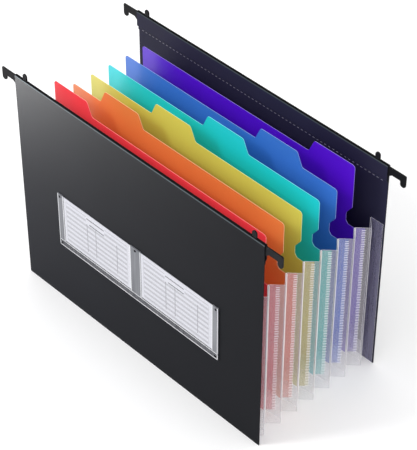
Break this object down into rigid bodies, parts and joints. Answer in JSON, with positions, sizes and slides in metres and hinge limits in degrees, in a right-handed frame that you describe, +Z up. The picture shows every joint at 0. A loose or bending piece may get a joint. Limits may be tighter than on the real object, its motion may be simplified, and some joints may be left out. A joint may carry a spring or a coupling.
{
  "type": "expanding hanging file",
  "caption": "Expanding hanging file: folded covers on hooked hanger rails, coloured tab dividers and a pleated clear gusset that closes up.",
  "frame": {"origin": "bottom centre of the open file's bounding box, on the surface it stands on", "axes": "+X across the file to the viewer's right, +Y from the front cover to the back cover, +Z up"},
  "size_m": [0.3306, 0.14, 0.226],
  "materials": {
    "cover_black": "finely grained black polypropylene sheet",
    "rail_black": "smooth black moulded plastic",
    "gusset_film": "frosted clear film, creased at the folds",
    "divider_red": "satin tinted sheet, slightly see-through",
    "divider_orange": "satin tinted sheet, slightly see-through",
    "divider_yellow": "satin tinted sheet, slightly see-through",
    "divider_teal": "satin tinted sheet, slightly see-through",
    "divider_blue": "satin tinted sheet, slightly see-through",
    "divider_purple": "satin tinted sheet, slightly see-through",
    "label_film": "clear grey film, welded round the cards",
    "label_paper": "white card with ruled lines"
  },
  "bodies": {
    "back": {"back_cover": "cover_black", "back_hanger_rail": "rail_black", "back_gusset_strip": "gusset_film"},
    "front": {"front_cover": "cover_black", "front_hanger_rail": "rail_black", "front_gusset_strip": "gusset_film", "label_holder": "label_film"},
    "red_divider": {"red_divider": "divider_red"},
    "orange_divider": {"orange_divider": "divider_orange"},
    "yellow_divider": {"yellow_divider": "divider_yellow"},
    "teal_divider": {"teal_divider": "divider_teal"},
    "blue_divider": {"blue_divider": "divider_blue"},
    "purple_divider": {"purple_divider": "divider_purple"},
    "left_label_card": {"left_label_card": "label_paper"},
    "right_label_card": {"right_label_card": "label_paper"},
    "left_pleat_1_front": {"left_pleat_1_front": "gusset_film"},
    "right_pleat_1_front": {"right_pleat_1_front": "gusset_film"},
    "bottom_pleat_1_front": {"bottom_pleat_1_front": "gusset_film"},
    "left_pleat_1_back": {"left_pleat_1_back": "gusset_film"},
    "right_pleat_1_back": {"right_pleat_1_back": "gusset_film"},
    "bottom_pleat_1_back": {"bottom_pleat_1_back": "gusset_film"},
    "left_pleat_2_front": {"left_pleat_2_front": "gusset_film"},
    "right_pleat_2_front": {"right_pleat_2_front": "gusset_film"},
    "bottom_pleat_2_front": {"bottom_pleat_2_front": "gusset_film"},
    "left_pleat_2_back": {"left_pleat_2_back": "gusset_film"},
    "right_pleat_2_back": {"right_pleat_2_back": "gusset_film"},
    "bottom_pleat_2_back": {"bottom_pleat_2_back": "gusset_film"},
    "left_pleat_3_front": {"left_pleat_3_front": "gusset_film"},
    "right_pleat_3_front": {"right_pleat_3_front": "gusset_film"},
    "bottom_pleat_3_front": {"bottom_pleat_3_front": "gusset_film"},
    "left_pleat_3_back": {"left_pleat_3_back": "gusset_film"},
    "right_pleat_3_back": {"right_pleat_3_back": "gusset_film"},
    "bottom_pleat_3_back": {"bottom_pleat_3_back": "gusset_film"},
    "left_pleat_4_front": {"left_pleat_4_front": "gusset_film"},
    "right_pleat_4_front": {"right_pleat_4_front": "gusset_film"},
    "bottom_pleat_4_front": {"bottom_pleat_4_front": "gusset_film"},
    "left_pleat_4_back": {"left_pleat_4_back": "gusset_film"},
    "right_pleat_4_back": {"right_pleat_4_back": "gusset_film"},
    "bottom_pleat_4_back": {"bottom_pleat_4_back": "gusset_film"},
    "left_pleat_5_front": {"left_pleat_5_front": "gusset_film"},
    "right_pleat_5_front": {"right_pleat_5_front": "gusset_film"},
    "bottom_pleat_5_front": {"bottom_pleat_5_front": "gusset_film"},
    "left_pleat_5_back": {"left_pleat_5_back": "gusset_film"},
    "right_pleat_5_back": {"right_pleat_5_back": "gusset_film"},
    "bottom_pleat_5_back": {"bottom_pleat_5_back": "gusset_film"},
    "left_pleat_6_front": {"left_pleat_6_front": "gusset_film"},
    "right_pleat_6_front": {"right_pleat_6_front": "gusset_film"},
    "bottom_pleat_6_front": {"bottom_pleat_6_front": "gusset_film"},
    "left_pleat_6_back": {"left_pleat_6_back": "gusset_film"},
    "right_pleat_6_back": {"right_pleat_6_back": "gusset_film"},
    "bottom_pleat_6_back": {"bottom_pleat_6_back": "gusset_film"},
    "left_pleat_7_front": {"left_pleat_7_front": "gusset_film"},
    "right_pleat_7_front": {"right_pleat_7_front": "gusset_film"},
    "bottom_pleat_7_front": {"bottom_pleat_7_front": "gusset_film"},
    "left_pleat_7_back": {"left_pleat_7_back": "gusset_film"},
    "right_pleat_7_back": {"right_pleat_7_back": "gusset_film"},
    "bottom_pleat_7_back": {"bottom_pleat_7_back": "gusset_film"}
  },
  "joints": [
    {"name": "pocket_1_slide", "type": "slide", "parent": "red_divider", "child": "front", "axis": [0, 1, 0], "range_m": [0, 0.01675]},
    {"name": "left_pleat_1_front_fold", "type": "hinge", "parent": "front", "child": "left_pleat_1_front", "pos_m": [-0.1323, -0.0675, 0.08], "axis": [0, 0, 1], "range_deg": [0, 43.51]},
    {"name": "right_pleat_1_front_fold", "type": "hinge", "parent": "front", "child": "right_pleat_1_front", "pos_m": [0.1323, -0.0675, 0.08], "axis": [0, 0, -1], "range_deg": [0, 43.51]},
    {"name": "bottom_pleat_1_front_fold", "type": "hinge", "parent": "front", "child": "bottom_pleat_1_front", "pos_m": [0, -0.06695, 0.016], "axis": [-1, 0, 0], "range_deg": [0, 41.74]},
    {"name": "left_pleat_1_back_fold", "type": "hinge", "parent": "red_divider", "child": "left_pleat_1_back", "pos_m": [-0.1323, -0.0491, 0.08], "axis": [0, 0, -1], "range_deg": [0, 43.51]},
    {"name": "right_pleat_1_back_fold", "type": "hinge", "parent": "red_divider", "child": "right_pleat_1_back", "pos_m": [0.1323, -0.0491, 0.08], "axis": [0, 0, 1], "range_deg": [0, 43.51]},
    {"name": "bottom_pleat_1_back_fold", "type": "hinge", "parent": "red_divider", "child": "bottom_pleat_1_back", "pos_m": [0, -0.04965, 0.016], "axis": [1, 0, 0], "range_deg": [0, 41.74]},
    {"name": "pocket_2_slide", "type": "slide", "parent": "orange_divider", "child": "red_divider", "axis": [0, 1, 0], "range_m": [0, 0.01675]},
    {"name": "left_pleat_2_front_fold", "type": "hinge", "parent": "red_divider", "child": "left_pleat_2_front", "pos_m": [-0.1323, -0.0479, 0.08], "axis": [0, 0, 1], "range_deg": [0, 43.51]},
    {"name": "right_pleat_2_front_fold", "type": "hinge", "parent": "red_divider", "child": "right_pleat_2_front", "pos_m": [0.1323, -0.0479, 0.08], "axis": [0, 0, -1], "range_deg": [0, 43.51]},
    {"name": "bottom_pleat_2_front_fold", "type": "hinge", "parent": "red_divider", "child": "bottom_pleat_2_front", "pos_m": [0, -0.04735, 0.016], "axis": [-1, 0, 0], "range_deg": [0, 41.74]},
    {"name": "left_pleat_2_back_fold", "type": "hinge", "parent": "orange_divider", "child": "left_pleat_2_back", "pos_m": [-0.1323, -0.0295, 0.08], "axis": [0, 0, -1], "range_deg": [0, 43.51]},
    {"name": "right_pleat_2_back_fold", "type": "hinge", "parent": "orange_divider", "child": "right_pleat_2_back", "pos_m": [0.1323, -0.0295, 0.08], "axis": [0, 0, 1], "range_deg": [0, 43.51]},
    {"name": "bottom_pleat_2_back_fold", "type": "hinge", "parent": "orange_divider", "child": "bottom_pleat_2_back", "pos_m": [0, -0.03005, 0.016], "axis": [1, 0, 0], "range_deg": [0, 41.74]},
    {"name": "pocket_3_slide", "type": "slide", "parent": "yellow_divider", "child": "orange_divider", "axis": [0, 1, 0], "range_m": [0, 0.01675]},
    {"name": "left_pleat_3_front_fold", "type": "hinge", "parent": "orange_divider", "child": "left_pleat_3_front", "pos_m": [-0.1323, -0.0283, 0.08], "axis": [0, 0, 1], "range_deg": [0, 43.51]},
    {"name": "right_pleat_3_front_fold", "type": "hinge", "parent": "orange_divider", "child": "right_pleat_3_front", "pos_m": [0.1323, -0.0283, 0.08], "axis": [0, 0, -1], "range_deg": [0, 43.51]},
    {"name": "bottom_pleat_3_front_fold", "type": "hinge", "parent": "orange_divider", "child": "bottom_pleat_3_front", "pos_m": [0, -0.02775, 0.016], "axis": [-1, 0, 0], "range_deg": [0, 41.74]},
    {"name": "left_pleat_3_back_fold", "type": "hinge", "parent": "yellow_divider", "child": "left_pleat_3_back", "pos_m": [-0.1323, -0.0099, 0.08], "axis": [0, 0, -1], "range_deg": [0, 43.51]},
    {"name": "right_pleat_3_back_fold", "type": "hinge", "parent": "yellow_divider", "child": "right_pleat_3_back", "pos_m": [0.1323, -0.0099, 0.08], "axis": [0, 0, 1], "range_deg": [0, 43.51]},
    {"name": "bottom_pleat_3_back_fold", "type": "hinge", "parent": "yellow_divider", "child": "bottom_pleat_3_back", "pos_m": [0, -0.01045, 0.016], "axis": [1, 0, 0], "range_deg": [0, 41.74]},
    {"name": "pocket_4_slide", "type": "slide", "parent": "teal_divider", "child": "yellow_divider", "axis": [0, 1, 0], "range_m": [0, 0.01675]},
    {"name": "left_pleat_4_front_fold", "type": "hinge", "parent": "yellow_divider", "child": "left_pleat_4_front", "pos_m": [-0.1323, -0.0087, 0.08], "axis": [0, 0, 1], "range_deg": [0, 43.51]},
    {"name": "right_pleat_4_front_fold", "type": "hinge", "parent": "yellow_divider", "child": "right_pleat_4_front", "pos_m": [0.1323, -0.0087, 0.08], "axis": [0, 0, -1], "range_deg": [0, 43.51]},
    {"name": "bottom_pleat_4_front_fold", "type": "hinge", "parent": "yellow_divider", "child": "bottom_pleat_4_front", "pos_m": [0, -0.00815, 0.016], "axis": [-1, 0, 0], "range_deg": [0, 41.74]},
    {"name": "left_pleat_4_back_fold", "type": "hinge", "parent": "teal_divider", "child": "left_pleat_4_back", "pos_m": [-0.1323, 0.0097, 0.08], "axis": [0, 0, -1], "range_deg": [0, 43.51]},
    {"name": "right_pleat_4_back_fold", "type": "hinge", "parent": "teal_divider", "child": "right_pleat_4_back", "pos_m": [0.1323, 0.0097, 0.08], "axis": [0, 0, 1], "range_deg": [0, 43.51]},
    {"name": "bottom_pleat_4_back_fold", "type": "hinge", "parent": "teal_divider", "child": "bottom_pleat_4_back", "pos_m": [0, 0.00915, 0.016], "axis": [1, 0, 0], "range_deg": [0, 41.74]},
    {"name": "pocket_5_slide", "type": "slide", "parent": "blue_divider", "child": "teal_divider", "axis": [0, 1, 0], "range_m": [0, 0.01675]},
    {"name": "left_pleat_5_front_fold", "type": "hinge", "parent": "teal_divider", "child": "left_pleat_5_front", "pos_m": [-0.1323, 0.0109, 0.08], "axis": [0, 0, 1], "range_deg": [0, 43.51]},
    {"name": "right_pleat_5_front_fold", "type": "hinge", "parent": "teal_divider", "child": "right_pleat_5_front", "pos_m": [0.1323, 0.0109, 0.08], "axis": [0, 0, -1], "range_deg": [0, 43.51]},
    {"name": "bottom_pleat_5_front_fold", "type": "hinge", "parent": "teal_divider", "child": "bottom_pleat_5_front", "pos_m": [0, 0.01145, 0.016], "axis": [-1, 0, 0], "range_deg": [0, 41.74]},
    {"name": "left_pleat_5_back_fold", "type": "hinge", "parent": "blue_divider", "child": "left_pleat_5_back", "pos_m": [-0.1323, 0.0293, 0.08], "axis": [0, 0, -1], "range_deg": [0, 43.51]},
    {"name": "right_pleat_5_back_fold", "type": "hinge", "parent": "blue_divider", "child": "right_pleat_5_back", "pos_m": [0.1323, 0.0293, 0.08], "axis": [0, 0, 1], "range_deg": [0, 43.51]},
    {"name": "bottom_pleat_5_back_fold", "type": "hinge", "parent": "blue_divider", "child": "bottom_pleat_5_back", "pos_m": [0, 0.02875, 0.016], "axis": [1, 0, 0], "range_deg": [0, 41.74]},
    {"name": "pocket_6_slide", "type": "slide", "parent": "purple_divider", "child": "blue_divider", "axis": [0, 1, 0], "range_m": [0, 0.01675]},
    {"name": "left_pleat_6_front_fold", "type": "hinge", "parent": "blue_divider", "child": "left_pleat_6_front", "pos_m": [-0.1323, 0.0305, 0.08], "axis": [0, 0, 1], "range_deg": [0, 43.51]},
    {"name": "right_pleat_6_front_fold", "type": "hinge", "parent": "blue_divider", "child": "right_pleat_6_front", "pos_m": [0.1323, 0.0305, 0.08], "axis": [0, 0, -1], "range_deg": [0, 43.51]},
    {"name": "bottom_pleat_6_front_fold", "type": "hinge", "parent": "blue_divider", "child": "bottom_pleat_6_front", "pos_m": [0, 0.03105, 0.016], "axis": [-1, 0, 0], "range_deg": [0, 41.74]},
    {"name": "left_pleat_6_back_fold", "type": "hinge", "parent": "purple_divider", "child": "left_pleat_6_back", "pos_m": [-0.1323, 0.0489, 0.08], "axis": [0, 0, -1], "range_deg": [0, 43.51]},
    {"name": "right_pleat_6_back_fold", "type": "hinge", "parent": "purple_divider", "child": "right_pleat_6_back", "pos_m": [0.1323, 0.0489, 0.08], "axis": [0, 0, 1], "range_deg": [0, 43.51]},
    {"name": "bottom_pleat_6_back_fold", "type": "hinge", "parent": "purple_divider", "child": "bottom_pleat_6_back", "pos_m": [0, 0.04835, 0.016], "axis": [1, 0, 0], "range_deg": [0, 41.74]},
    {"name": "pocket_7_slide", "type": "slide", "parent": "back", "child": "purple_divider", "axis": [0, 1, 0], "range_m": [0, 0.01675]},
    {"name": "left_pleat_7_front_fold", "type": "hinge", "parent": "purple_divider", "child": "left_pleat_7_front", "pos_m": [-0.1323, 0.0501, 0.08], "axis": [0, 0, 1], "range_deg": [0, 43.51]},
    {"name": "right_pleat_7_front_fold", "type": "hinge", "parent": "purple_divider", "child": "right_pleat_7_front", "pos_m": [0.1323, 0.0501, 0.08], "axis": [0, 0, -1], "range_deg": [0, 43.51]},
    {"name": "bottom_pleat_7_front_fold", "type": "hinge", "parent": "purple_divider", "child": "bottom_pleat_7_front", "pos_m": [0, 0.05065, 0.016], "axis": [-1, 0, 0], "range_deg": [0, 41.74]},
    {"name": "left_pleat_7_back_fold", "type": "hinge", "parent": "back", "child": "left_pleat_7_back", "pos_m": [-0.1323, 0.0685, 0.08], "axis": [0, 0, -1], "range_deg": [0, 43.51]},
    {"name": "right_pleat_7_back_fold", "type": "hinge", "parent": "back", "child": "right_pleat_7_back", "pos_m": [0.1323, 0.0685, 0.08], "axis": [0, 0, 1], "range_deg": [0, 43.51]},
    {"name": "bottom_pleat_7_back_fold", "type": "hinge", "parent": "back", "child": "bottom_pleat_7_back", "pos_m": [0, 0.06795, 0.016], "axis": [1, 0, 0], "range_deg": [0, 41.74]},
    {"name": "left_card_slide", "type": "slide", "parent": "front", "child": "left_label_card", "axis": [0, 0, 1], "range_m": [0, 0.05]},
    {"name": "right_card_slide", "type": "slide", "parent": "front", "child": "right_label_card", "axis": [0, 0, 1], "range_m": [0, 0.05]}
  ],
  "couplings": [
    {"joint": "left_pleat_1_front_fold", "follows": "pocket_1_slide", "rad_per_m": 45.31},
    {"joint": "right_pleat_1_front_fold", "follows": "pocket_1_slide", "rad_per_m": 45.31},
    {"joint": "bottom_pleat_1_front_fold", "follows": "pocket_1_slide", "rad_per_m": 43.477},
    {"joint": "left_pleat_1_back_fold", "follows": "pocket_1_slide", "rad_per_m": 45.31},
    {"joint": "right_pleat_1_back_fold", "follows": "pocket_1_slide", "rad_per_m": 45.31},
    {"joint": "bottom_pleat_1_back_fold", "follows": "pocket_1_slide", "rad_per_m": 43.477},
    {"joint": "left_pleat_2_front_fold", "follows": "pocket_2_slide", "rad_per_m": 45.31},
    {"joint": "right_pleat_2_front_fold", "follows": "pocket_2_slide", "rad_per_m": 45.31},
    {"joint": "bottom_pleat_2_front_fold", "follows": "pocket_2_slide", "rad_per_m": 43.477},
    {"joint": "left_pleat_2_back_fold", "follows": "pocket_2_slide", "rad_per_m": 45.31},
    {"joint": "right_pleat_2_back_fold", "follows": "pocket_2_slide", "rad_per_m": 45.31},
    {"joint": "bottom_pleat_2_back_fold", "follows": "pocket_2_slide", "rad_per_m": 43.477},
    {"joint": "left_pleat_3_front_fold", "follows": "pocket_3_slide", "rad_per_m": 45.31},
    {"joint": "right_pleat_3_front_fold", "follows": "pocket_3_slide", "rad_per_m": 45.31},
    {"joint": "bottom_pleat_3_front_fold", "follows": "pocket_3_slide", "rad_per_m": 43.477},
    {"joint": "left_pleat_3_back_fold", "follows": "pocket_3_slide", "rad_per_m": 45.31},
    {"joint": "right_pleat_3_back_fold", "follows": "pocket_3_slide", "rad_per_m": 45.31},
    {"joint": "bottom_pleat_3_back_fold", "follows": "pocket_3_slide", "rad_per_m": 43.477},
    {"joint": "left_pleat_4_front_fold", "follows": "pocket_4_slide", "rad_per_m": 45.31},
    {"joint": "right_pleat_4_front_fold", "follows": "pocket_4_slide", "rad_per_m": 45.31},
    {"joint": "bottom_pleat_4_front_fold", "follows": "pocket_4_slide", "rad_per_m": 43.477},
    {"joint": "left_pleat_4_back_fold", "follows": "pocket_4_slide", "rad_per_m": 45.31},
    {"joint": "right_pleat_4_back_fold", "follows": "pocket_4_slide", "rad_per_m": 45.31},
    {"joint": "bottom_pleat_4_back_fold", "follows": "pocket_4_slide", "rad_per_m": 43.477},
    {"joint": "left_pleat_5_front_fold", "follows": "pocket_5_slide", "rad_per_m": 45.31},
    {"joint": "right_pleat_5_front_fold", "follows": "pocket_5_slide", "rad_per_m": 45.31},
    {"joint": "bottom_pleat_5_front_fold", "follows": "pocket_5_slide", "rad_per_m": 43.477},
    {"joint": "left_pleat_5_back_fold", "follows": "pocket_5_slide", "rad_per_m": 45.31},
    {"joint": "right_pleat_5_back_fold", "follows": "pocket_5_slide", "rad_per_m": 45.31},
    {"joint": "bottom_pleat_5_back_fold", "follows": "pocket_5_slide", "rad_per_m": 43.477},
    {"joint": "left_pleat_6_front_fold", "follows": "pocket_6_slide", "rad_per_m": 45.31},
    {"joint": "right_pleat_6_front_fold", "follows": "pocket_6_slide", "rad_per_m": 45.31},
    {"joint": "bottom_pleat_6_front_fold", "follows": "pocket_6_slide", "rad_per_m": 43.477},
    {"joint": "left_pleat_6_back_fold", "follows": "pocket_6_slide", "rad_per_m": 45.31},
    {"joint": "right_pleat_6_back_fold", "follows": "pocket_6_slide", "rad_per_m": 45.31},
    {"joint": "bottom_pleat_6_back_fold", "follows": "pocket_6_slide", "rad_per_m": 43.477},
    {"joint": "left_pleat_7_front_fold", "follows": "pocket_7_slide", "rad_per_m": 45.31},
    {"joint": "right_pleat_7_front_fold", "follows": "pocket_7_slide", "rad_per_m": 45.31},
    {"joint": "bottom_pleat_7_front_fold", "follows": "pocket_7_slide", "rad_per_m": 43.477},
    {"joint": "left_pleat_7_back_fold", "follows": "pocket_7_slide", "rad_per_m": 45.31},
    {"joint": "right_pleat_7_back_fold", "follows": "pocket_7_slide", "rad_per_m": 45.31},
    {"joint": "bottom_pleat_7_back_fold", "follows": "pocket_7_slide", "rad_per_m": 43.477}
  ]
}
